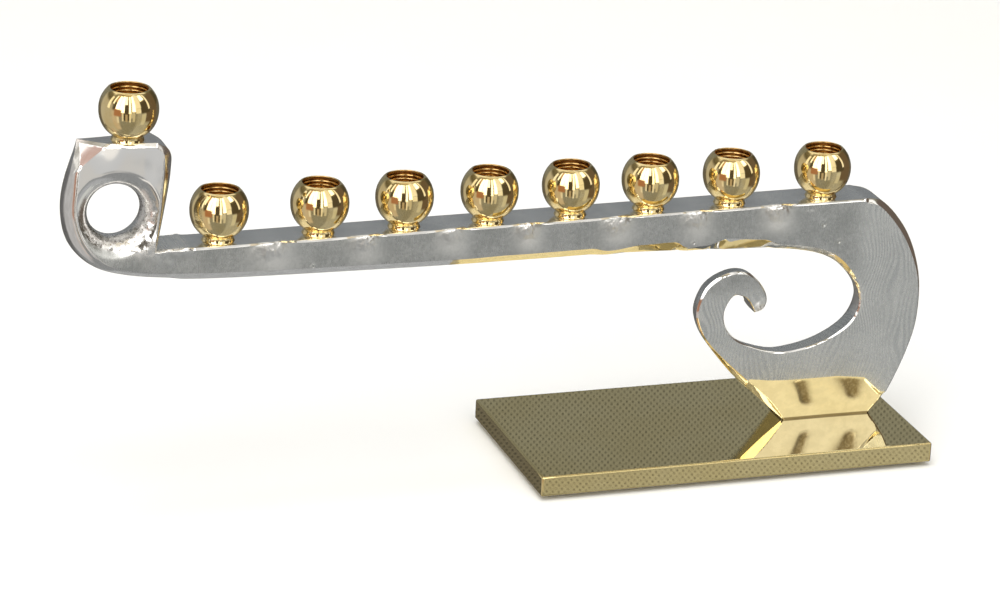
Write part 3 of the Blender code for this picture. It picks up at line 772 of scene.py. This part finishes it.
def make_cup(node, tilt, material, bore_material):
    """A polished ball cup. It tilts by about a degree, as cups that were screwed down by hand do."""
    low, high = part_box(node)
    profile = cup_profile()
    vertices, faces = turned_mesh([(r * MM, h * MM) for r, h in profile], CUP_SEGMENTS, True)
    jitter = noise_at(vertices / MM, 2.2, 4.0) * 0.03 * MM
    on_rim = vertices[:, 2] > 5.7 * MM
    vertices[on_rim, 2] += jitter[on_rim]
    rows = len(profile)
    bore_from = next(i for i, (r, h) in enumerate(profile) if h == BORE_FLOOR)
    slots = [1 if bore_from <= row < rows - 4 else 0 for row in range(rows) for _ in range(CUP_SEGMENTS)]
    cup = new_piece(f"fine_{node}", vertices, faces, [material, bore_material], slots)
    centre = Vector(((low.x + high.x) / 2, (low.y + high.y) / 2, cup_stand(node)))
    lift = Matrix.Translation((0.0, 0.0, CUP_HEIGHT * MM))
    lean = Matrix.Rotation(math.radians(tilt[0]), 4, "X") @ Matrix.Rotation(math.radians(tilt[1]), 4, "Y")
    cup.data.transform(Matrix.Translation(centre) @ lean @ lift)
    above = max(vertex.co.z for vertex in cup.data.vertices) - high.z
    cup.data.transform(Matrix.Translation((0.0, 0.0, -max(above, 0.0))))
    clean(cup, 0.001 * MM, 40.0)
    install(cup, node)
    return cup


def cup_stand(node):
    """Height of the face that a cup stands on."""
    low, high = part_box(node)
    height = CURL_TOP if node == "servant_cup" else beam_top((low.x + high.x) / 2 / MM)
    return STAND + height * MM


def make_cup_screw(node, material):
    """A cheese-head screw with a slot, seen only down inside the bore."""
    low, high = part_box(node)
    head = (high.x - low.x) / 2
    seat = high.z - 1.9 * MM
    shank = SCREW_RADIUS * MM * 0.97
    profile = [(0.0, high.z), (head * 0.35, high.z), (head * 0.68, high.z - 0.06 * MM),
               (head * 0.9, high.z - 0.3 * MM), (head, high.z - 0.7 * MM), (head, seat + 0.15 * MM),
               (head - 0.15 * MM, seat), (shank, seat), (shank, low.z + 0.4 * MM),
               (shank - 0.4 * MM, low.z), (0.0, low.z)]
    vertices, faces = turned_mesh(profile, 48, False)
    screw = new_piece(f"fine_{node}", vertices, faces, [material])
    clean(screw, 0.001 * MM, 35.0)
    cut_slot(screw, head, high.z)
    centre = Vector(((low.x + high.x) / 2, (low.y + high.y) / 2, 0.0))
    screw.data.transform(Matrix.Translation(centre))
    install(screw, node)


def cut_slot(screw, head, top):
    work = bmesh.new()
    bmesh.ops.create_cube(work, size=1.0)
    bmesh.ops.scale(work, vec=(head * 3, SLOT_WIDTH * MM, SLOT_DEPTH * 2 * MM), verts=work.verts)
    turn = Matrix.Rotation(math.radians(SLOT_TURN), 3, "Z")
    bmesh.ops.rotate(work, cent=(0, 0, 0), matrix=turn, verts=work.verts)
    bmesh.ops.translate(work, vec=(0.0, 0.0, top), verts=work.verts)
    cutter = linked("slot_cutter", mesh_from(work, "slot_cutter"))
    boolean = screw.modifiers.new("Slot", "BOOLEAN")
    boolean.operation = "DIFFERENCE"
    boolean.object = cutter
    evaluated = screw.evaluated_get(bpy.context.evaluated_depsgraph_get())
    mesh = bpy.data.meshes.new_from_object(evaluated)
    screw.modifiers.clear()
    screw.data = mesh
    bpy.data.objects.remove(cutter)
    shade(screw, 35.0)


# ---- base

def rounded_slab(name, low, high, edge, segments, cuts, material):
    """A flat slab with rounded edges, its faces divided so that they can wander a little."""
    work = bmesh.new()
    bmesh.ops.create_cube(work, size=1.0)
    bmesh.ops.scale(work, vec=high - low, verts=work.verts)
    bmesh.ops.translate(work, vec=(low + high) / 2, verts=work.verts)
    bmesh.ops.bevel(work, geom=work.edges[:], offset=edge, segments=segments, profile=0.5,
                    affect="EDGES", clamp_overlap=True)
    flats = [face for face in work.faces if face.calc_area() > 100.0 * edge * edge]
    bmesh.ops.inset_individual(work, faces=flats, thickness=edge / 2)
    long_edges = [e for e in work.edges if e.calc_length() > 10.0 * MM]
    bmesh.ops.subdivide_edges(work, edges=long_edges, cuts=cuts, use_grid_fill=True)
    bmesh.ops.recalc_face_normals(work, faces=work.faces)
    piece = linked(name, mesh_from(work, name))
    piece.data.materials.append(material)
    return piece


def make_base():
    plate = rounded_slab("fine_base_plate", PLATE_LOW, PLATE_HIGH, 0.55 * MM, 3, 11, base_brass())
    shade(plate, 31.0)
    install(plate, "base_plate")


def make_felt():
    """Felt that meets the plate: soft at its cut edge and uneven by a few hundredths of a millimetre."""
    top = Vector((FELT_HIGH.x, FELT_HIGH.y, PLATE_LOW.z - 0.01 * MM))
    felt = rounded_slab("fine_base_felt", FELT_LOW, top, 0.3 * MM, 2, 59, felt_material())
    for vertex in felt.data.vertices:
        wander = noise.noise(vertex.co / (1.3 * MM)) * 0.05 * MM
        outward = Vector((vertex.co.x / FELT_HIGH.x, vertex.co.y / FELT_HIGH.y, 0.0))
        if abs(vertex.co.x) > FELT_HIGH.x - 0.4 * MM or abs(vertex.co.y) > FELT_HIGH.y - 0.4 * MM:
            vertex.co -= outward * abs(wander) * 3.0
    felt.data.shade_smooth()
    install(felt, "base_felt")


# ---- materials

SATIN_SLOT, EDGE_SLOT, TOP_SLOT = 0, 1, 2
ALUMINIUM = (0.86, 0.87, 0.86)
ALUMINIUM_BRIGHT = (0.90, 0.89, 0.88)
BRASS = (0.93, 0.70, 0.33)
BRASS_DEEP = (0.90, 0.56, 0.20)
BRASS_BASE = (0.92, 0.73, 0.34)
BRASS_SCREW = (0.80, 0.58, 0.26)
STEEL = (0.56, 0.56, 0.57)
# dark brown, used for the dull flutes' tarnish and for the painted contact shadow along the foot
TARNISH_AND_CONTACT_SHADE = (0.24, 0.20, 0.14)
FELT = (0.022, 0.023, 0.027)
FLOOR = (0.86, 0.86, 0.855)


class Nodes:
    """The nodes of a material or of the world: most methods add one and give its output."""

    def __init__(self, owner):
        owner.use_nodes = True
        self.owner = owner
        self.tree = owner.node_tree

    def add(self, kind, inputs, output=0, **settings):
        node = self.tree.nodes.new("ShaderNode" + kind)
        for name, value in settings.items():
            setattr(node, name, value)
        for name, value in inputs.items():
            self.feed(node.inputs[name], value)
        return node.outputs[output]

    def feed(self, socket, value):
        """Links an output to the socket, or sets the socket to a constant."""
        if isinstance(value, bpy.types.NodeSocket):
            self.tree.links.new(value, socket)
        else:
            socket.default_value = value

    def maths(self, operation, a, b=0.0):
        return self.add("Math", {0: a, 1: b}, operation=operation)

    def times(self, a, b):
        return self.maths("MULTIPLY", a, b)

    def value(self, share, low, high):
        return self.add("Mix", {0: share, 2: low, 3: high}, data_type="FLOAT")

    def colour(self, share, low, high):
        low, high = ((*c, 1.0) if isinstance(c, tuple) else c for c in (low, high))
        return self.add("Mix", {0: share, 6: low, 7: high}, output=2, data_type="RGBA")

    def span(self, value, low, high, to_low=0.0, to_high=1.0):
        inputs = {"Value": value, "From Min": low, "From Max": high, "To Min": to_low, "To Max": to_high}
        return self.add("MapRange", inputs, interpolation_type="SMOOTHSTEP")

    def mask(self, name):
        return self.add("Attribute", {}, output="Fac", attribute_name=name)

    def millimetres(self, squeeze=(1.0, 1.0, 1.0)):
        """The point's place on the object, in millimetres, squeezed by a factor along each axis."""
        place = self.add("TexCoord", {}, output="Object")
        factor = tuple(value / MM for value in squeeze)
        return self.add("VectorMath", {0: place, 1: factor}, operation="MULTIPLY")

    def speckle(self, scale, detail, squeeze=(1.0, 1.0, 1.0), roughness=0.55, distortion=0.0):
        inputs = {"Vector": self.millimetres(squeeze), "Scale": scale, "Detail": detail,
                  "Roughness": roughness, "Distortion": distortion}
        return self.add("TexNoise", inputs)

    def bump(self, height, millimetres, below=None):
        inputs = {"Height": height, "Distance": millimetres * MM, "Strength": 1.0}
        if below is not None:
            inputs["Normal"] = below
        return self.add("Bump", inputs)

    def finish(self, colour, roughness, normal=None, **others):
        """Feeds the material's shader and gives the material."""
        inputs = {"Base Color": colour, "Roughness": roughness, "Normal": normal}
        inputs.update({name.replace("_", " "): value for name, value in others.items()})
        shader = self.tree.nodes["Principled BSDF"]
        for name, value in inputs.items():
            if value is not None:
                self.feed(shader.inputs[name], value)
        return self.owner


def new_look(name, colour, metallic=1.0):
    look = Nodes(bpy.data.materials.new(name))
    shader = look.tree.nodes["Principled BSDF"]
    shader.inputs["Base Color"].default_value = (*colour, 1.0)
    shader.inputs["Metallic"].default_value = metallic
    return look


def brush_lines(look):
    """Wavy lines a little over a millimetre apart, like wood grain, left by brushing up and down."""
    inputs = {"Vector": look.millimetres((1.0, 0.0, 0.6)), "Scale": 0.25, "Distortion": 46.0,
              "Detail": 1.0, "Detail Scale": 0.26, "Detail Roughness": 0.35}
    wave = look.add("TexWave", inputs, "Fac", wave_type="BANDS", bands_direction="X", wave_profile="SIN")
    return look.span(wave, 0.15, 0.95)


def brushed_face():
    """Brushed flat: grey satin with wavy lines, brighter and smoother where the curl was polished."""
    look = new_look("brushed_aluminium", ALUMINIUM)
    polish, cast, haze, lined = (look.mask(name) for name in ("polish", "cast", "haze", "lined"))
    fine = look.speckle(3.0, 3.0, (1.0, 1.0, 0.15))
    grain = look.speckle(1.6, 3.0)
    patches = look.span(look.speckle(0.05, 1.0), 0.36, 0.56, 0.35, 1.0)
    grooves = look.times(brush_lines(look), look.times(patches, lined))
    mottle = look.maths("ADD", look.speckle(0.12, 4.0), look.speckle(1.1, 5.0, roughness=0.65))
    shade = look.span(look.times(mottle, 0.5), 0.38, 0.62)
    beam = look.colour(shade, (0.53, 0.54, 0.525), (0.70, 0.705, 0.69))
    scroll = look.colour(shade, (0.80, 0.81, 0.79), (0.92, 0.925, 0.90))
    colour = look.colour(look.span(lined, 0.15, 0.9), beam, scroll)
    for share, shown in ((grooves, (0.71, 0.725, 0.72)), (polish, ALUMINIUM_BRIGHT),
                         (haze, (0.97, 0.97, 0.95)), (cast, (0.95, 0.94, 0.92))):
        colour = look.colour(share, colour, shown)
    rough = look.span(fine, 0.2, 0.8, 0.24, 0.32)
    for share, value in ((polish, 0.10), (haze, 0.50), (cast, look.span(grain, 0.35, 0.65, 0.30, 0.50))):
        rough = look.value(share, rough, value)
    satin = look.maths("SUBTRACT", 1.0, polish)
    normal = look.bump(look.times(grooves, satin), -0.014)
    normal = look.bump(look.times(grain, look.maths("MAXIMUM", cast, haze)), 0.08, normal)
    return look.finish(colour, rough, look.bump(look.times(fine, satin), 0.006, normal))


def polished_edge():
    """Bevels, facets and sides, polished to a mirror but not quite flat, with a painted contact shadow where
    the foot meets the base.
    """
    look = new_look("polished_aluminium_edge", ALUMINIUM_BRIGHT)
    polish, cast, dull = (look.mask(name) for name in ("polish", "cast", "dull"))
    grain = look.speckle(1.3, 3.0)
    streak = look.speckle(1.1, 3.0, (0.3, 1.0, 0.3))
    height = look.add("SeparateXYZ", {0: look.millimetres()}, output=2)
    # painted contact shadow: the lowest 0.12 to 0.38 mm of the casting is darkened where its foot meets the
    # base
    contact_shade = look.span(height, STAND / MM + 0.12, STAND / MM + 0.38, 0.9, 0.0)
    # the dark brown is real tarnish in the dull flutes, and painted contact shadow along the foot
    tarnish_and_contact_shade = look.maths("MAXIMUM", look.times(dull, look.span(grain, 0.25, 0.6, 0.75, 1.0)), contact_shade)
    hollows = look.times(cast, look.span(grain, 0.34, 0.52, 1.0, 0.0))
    colour = look.colour(look.span(streak, 0.35, 0.7), (0.84, 0.83, 0.81), (0.93, 0.92, 0.91))
    colour = look.colour(tarnish_and_contact_shade, colour, TARNISH_AND_CONTACT_SHADE)
    colour = look.colour(hollows, colour, (0.60, 0.58, 0.56))
    rough = look.span(streak, 0.3, 0.75, 0.035, 0.10)
    for share, value in ((polish, 0.20), (cast, look.span(grain, 0.35, 0.65, 0.22, 0.42)), (dull, 0.24)):
        rough = look.value(share, rough, value)
    normal = look.bump(look.speckle(0.16, 2.0), 0.08)
    return look.finish(colour, rough, look.bump(look.times(grain, cast), 0.10, normal))


def top_face():
    """The beam's top: fine-brushed grey that still mirrors the cups' necks."""
    look = new_look("top_face_aluminium", ALUMINIUM, 0.95)
    cloud = look.speckle(0.15, 4.0)
    fine = look.speckle(2.2, 3.0, (0.12, 1.0, 1.0))
    colour = look.colour(look.span(cloud, 0.3, 0.7), (0.82, 0.83, 0.825), (0.92, 0.92, 0.91))
    rough = look.value(look.mask("cast"), look.span(fine, 0.25, 0.75, 0.08, 0.14), 0.28)
    return look.finish(colour, rough, look.bump(fine, 0.003, look.bump(cloud, 0.05)))


def cup_brass():
    """Turned and buffed brass: a mirror with the faintest turning lines and slow colour changes."""
    look = new_look("cup_brass", BRASS)
    lines = look.speckle(9.0, 2.0, (0.02, 0.02, 1.0))
    cloud = look.span(look.speckle(0.3, 3.0), 0.3, 0.7)
    colour = look.colour(cloud, (0.90, 0.70, 0.33), (0.94, 0.77, 0.42))
    normal = look.bump(look.speckle(0.35, 2.0), 0.012)
    return look.finish(colour, look.span(lines, 0.3, 0.7, 0.05, 0.085), look.bump(lines, 0.0012, normal))


def bore_brass():
    """The cup's inside, left as it was bored: deeper in colour and ringed by the tool."""
    look = new_look("bore_brass", BRASS_DEEP)
    lines = look.speckle(4.0, 3.0, (0.03, 0.03, 1.0))
    colour = look.colour(look.span(lines, 0.3, 0.7), (0.52, 0.31, 0.10), (0.76, 0.50, 0.20))
    return look.finish(colour, look.span(lines, 0.3, 0.7, 0.16, 0.30), look.bump(lines, 0.02))


def base_brass():
    """The base bar: mirror-polished brass with a faint haze of fine scratches."""
    look = new_look("base_brass", BRASS_BASE)
    cloud = look.span(look.speckle(0.05, 3.0), 0.3, 0.7)
    haze = look.span(look.speckle(1.2, 4.0, (0.2, 1.0, 1.0)), 0.35, 0.8, 0.008, 0.02)
    colour = look.colour(cloud, (0.90, 0.735, 0.355), (0.93, 0.775, 0.40))
    return look.finish(colour, haze, look.bump(look.speckle(0.06, 1.0), 0.0008))


def screw_metal(name, colour, roughness):
    """Machined screws: fine rings and a dulled surface."""
    look = new_look(name, colour)
    lines = look.speckle(5.0, 2.0, (0.1, 0.1, 1.0))
    rough = look.span(lines, 0.3, 0.7, roughness, roughness + 0.15)
    return look.finish(None, rough, look.bump(lines, 0.01))


def felt_material():
    look = new_look("felt", FELT, 0.0)
    fibres = look.speckle(3.5, 6.0, roughness=0.7, distortion=1.5)
    colour = look.colour(fibres, (0.012, 0.012, 0.015), (0.045, 0.046, 0.052))
    return look.finish(colour, 0.95, look.bump(fibres, 0.12), Sheen_Weight=0.35, Sheen_Roughness=0.5)


def floor_material():
    look = new_look("studio_floor", FLOOR, 0.0)
    colour = look.colour(look.speckle(0.01, 3.0), (0.85, 0.85, 0.845), (0.88, 0.88, 0.875))
    return look.finish(colour, 0.7, Specular_IOR_Level=0.1)


# ---- studio

FLOOR_SIZE = 6.0
CAMERA_PLACE = (-0.41804, -0.98977, 0.44364)
CAMERA_AZIMUTH = 19.65
CAMERA_DOWN = 20.54
CAMERA_ROLL = 2.9
CAMERA_LENS = 142.6
LAMP_PLACE = (-0.15, -0.10, 1.1)
LAMP_SIZE = 0.9
LAMP_POWER = 7.2
LAMP_COLOUR = (0.93, 0.965, 1.0)

ROOM = (0.090, 0.080, 0.060)  # the studio's brightness by direction, sides first
CEILING = (0.44, 0.40, 0.29)
TABLE_LEFT = (0.33, 0.335, 0.33)
TABLE_RIGHT = (0.50, 0.505, 0.50)
TABLE_BEHIND = (0.16, 0.155, 0.15)
HOLE_PITCH = 0.094  # degrees between the holes of the cloth on table and backdrop
HOLE_SHADE = 0.40
WHITE = (2.9, 2.87, 2.78)
DARK = (0.09, 0.075, 0.055)
CREAM = (1.05, 1.03, 0.98)
# middle and half width in degrees round from straight behind, lowest and highest elevation, softness, glow
BACK_PANELS = [(0.0, 34.0, -3.0, 34.0, 9.0, (0.262, 0.276, 0.284)),
               (0.0, 75.0, 52.0, 76.0, 12.0, (1.15, 1.12, 1.05))]
# the same, with the middle in degrees round to the right from straight in front
FRONT_PANELS = [(-14.0, 15.0, -17.0, -3.0, 6.0, (0.60, 0.60, 0.59)),
                (-15.0, 70.0, 68.0, 95.0, 5.0, (0.82, 0.70, 0.50)),
                (84.0, 26.0, -28.0, 34.0, 8.0, (0.15, 0.115, 0.09)),
                (-70.0, 6.0, 34.0, 56.0, 4.0, (0.60, 0.40, 0.33)),
                (-75.0, 18.0, -55.0, -2.0, 10.0, (0.58, 0.51, 0.46)),
                (-112.0, 26.0, -60.0, 16.0, 12.0, (0.50, 0.485, 0.47)),
                (-80.0, 2.0, 24.0, 52.0, 2.0, (1.8, 1.77, 1.70)),
                (-57.5, 6.5, 9.0, 56.0, 2.5, WHITE),
                (-39.5, 8.0, 0.0, 59.0, 2.5, WHITE),
                (-24.0, 4.0, 31.0, 59.0, 2.5, (2.3, 2.25, 2.15)),
                (-8.5, 3.0, -4.0, 60.0, 2.0, (2.5, 2.45, 2.30)),
                (6.5, 5.5, 4.0, 60.0, 2.5, WHITE),
                (24.5, 10.5, 15.0, 74.0, 2.5, CREAM),
                (42.0, 8.0, 60.0, 74.0, 4.0, (0.82, 0.80, 0.76)),
                (24.0, 9.0, -3.0, 12.0, 2.5, (1.0, 0.98, 0.92)),
                (50.0, 9.0, 38.0, 55.0, 4.0, (2.6, 2.55, 2.45)),
                (54.0, 15.0, -3.0, 27.0, 7.0, DARK),
                (47.0, 6.0, -38.0, -12.0, 6.0, (0.62, 0.62, 0.58)),
                (-56.0, 11.0, -12.0, 5.0, 7.0, (0.42, 0.21, 0.13)),
                (-22.0, 4.5, -6.0, 27.0, 4.0, DARK),
                (-28.5, 3.0, -26.0, -4.0, 3.0, DARK),
                (-15.5, 2.5, -26.0, -4.0, 3.0, DARK),
                (-22.0, 3.0, -30.0, -8.0, 2.5, (0.50, 0.42, 0.33)),
                (-36.5, 2.0, -28.0, -3.0, 2.0, (0.85, 0.82, 0.76)),
                (-8.0, 1.8, -32.0, -3.0, 2.0, (0.95, 0.91, 0.84)),
                (6.5, 3.0, -30.0, 2.0, 3.0, (0.62, 0.60, 0.56)),
                (-56.0, 2.5, -34.0, -19.0, 3.0, (0.80, 0.77, 0.73)),
                (70.0, 2.5, 4.0, 56.0, 3.0, (1.2, 1.17, 1.10)),
                (-98.0, 4.0, 4.0, 40.0, 3.0, (1.2, 1.17, 1.10))]


def make_floor():
    work = bmesh.new()
    bmesh.ops.create_grid(work, x_segments=8, y_segments=8, size=FLOOR_SIZE / 2)
    mesh = mesh_from(work, "studio_floor")
    mesh.materials.append(floor_material())
    floor = linked("studio_floor", mesh)
    floor.location.z = FELT_LOW.z
    floor.visible_glossy = False


def make_world():
    """A soft studio: tall windows in front, a dim ceiling, a dark room behind, a grey table below."""
    world = bpy.data.worlds.new("studio")
    bpy.context.scene.world = world
    sky = Nodes(world)
    direction = sky.add("TexCoord", {}, output="Generated")
    x, y, z = (sky.add("SeparateXYZ", {0: direction}, output=axis) for axis in range(3))
    azimuth = sky.times(sky.maths("ARCTAN2", x, sky.times(y, -1.0)), math.degrees(1.0))
    elevation = sky.times(sky.maths("ARCSINE", z), math.degrees(1.0))
    behind = sky.maths("SUBTRACT", 180.0, sky.maths("ABSOLUTE", azimuth))

    room = sky.colour(sky.span(elevation, 5.0, 80.0), ROOM, CEILING)
    in_front = sky.span(sky.maths("ABSOLUTE", sky.maths("ADD", azimuth, 5.0)), 75.0, 110.0, 1.0, 0.0)
    steep = sky.span(elevation, -46.0, -34.0, 1.0, 0.0)
    table = sky.colour(sky.span(azimuth, 10.0, 26.0), TABLE_LEFT, TABLE_RIGHT)
    table = sky.colour(sky.maths("MAXIMUM", in_front, steep), TABLE_BEHIND, table)
    colour = sky.colour(sky.span(elevation, -6.0, -2.0, 1.0, 0.0), room, table)
    colour = hang(sky, colour, BACK_PANELS, behind, elevation)
    holes = sky.times(ripple(sky, azimuth), ripple(sky, elevation))
    shade = sky.span(holes, 0.1, 0.6, 1.0, HOLE_SHADE)
    colour = sky.add("VectorMath", {0: colour, "Scale": shade}, operation="SCALE")
    colour = hang(sky, colour, FRONT_PANELS, azimuth, elevation)
    sky.feed(sky.tree.nodes["Background"].inputs["Color"], colour)


def ripple(sky, angle):
    """A wave over directions, one crest for each hole of the studio's perforated cloth."""
    return sky.maths("COSINE", sky.times(angle, 2.0 * math.pi / HOLE_PITCH))


def hang(sky, colour, panels, azimuth, elevation):
    """Lays soft-edged windows of directions over the studio, each one over those before it."""
    for centre, half_width, low, high, soft, glow in panels:
        away = sky.maths("ABSOLUTE", sky.maths("SUBTRACT", azimuth, centre))
        across = sky.span(away, half_width, half_width + soft, 1.0, 0.0)
        above = sky.span(elevation, low - soft, low)
        below = sky.span(elevation, high, high + soft, 1.0, 0.0)
        colour = sky.colour(sky.times(across, sky.times(above, below)), colour, glow)
    return colour


def make_lamp():
    """A soft lamp that lights the floor and the felt but makes no reflection of its own."""
    data = bpy.data.lights.new("soft_key", "AREA")
    data.shape = "DISK"
    data.size = LAMP_SIZE
    data.energy = LAMP_POWER
    data.color = LAMP_COLOUR
    lamp = linked("soft_key", data)
    lamp.location = LAMP_PLACE
    lamp.rotation_euler = (-Vector(LAMP_PLACE)).to_track_quat("-Z", "Y").to_euler()
    lamp.visible_glossy = False


def make_camera():
    azimuth, down, roll = (math.radians(v) for v in (CAMERA_AZIMUTH, CAMERA_DOWN, CAMERA_ROLL))
    level = Vector((math.cos(azimuth), -math.sin(azimuth), 0.0))
    ahead = Vector((math.sin(azimuth), math.cos(azimuth), 0.0))
    forward = ahead * math.cos(down) - Vector((0.0, 0.0, math.sin(down)))
    upright = level.cross(forward)
    right = level * math.cos(roll) + upright * math.sin(roll)
    up = upright * math.cos(roll) - level * math.sin(roll)
    data = bpy.data.cameras.new("camera")
    data.lens = CAMERA_LENS
    data.sensor_width = 36.0
    data.clip_start = 0.05
    data.clip_end = 30.0
    camera = linked("camera", data)
    turn = Matrix((right, up, -forward)).transposed().to_4x4()
    camera.matrix_world = Matrix.Translation(CAMERA_PLACE) @ turn
    bpy.context.scene.camera = camera


# ---- the whole

def main():
    make_camera()
    make_world()
    make_floor()
    make_lamp()
    bpy.context.scene.view_settings.view_transform = "Standard"
    bpy.context.scene.view_settings.look = "None"

    make_body()
    brass, bore, screw = cup_brass(), bore_brass(), screw_metal("screw_brass", BRASS_SCREW, 0.18)
    for node, tilt in zip(CUP_NODES, CUP_TILTS):
        make_cup(node, tilt, brass, bore)
        make_cup_screw(f"{node}_screw", screw)
    make_base()
    make_felt()
    steel = screw_metal("screw_steel", STEEL, 0.25)
    for node in ("base_screw_1", "base_screw_2"):
        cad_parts[node].data.materials.clear()
        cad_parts[node].data.materials.append(steel)


main()
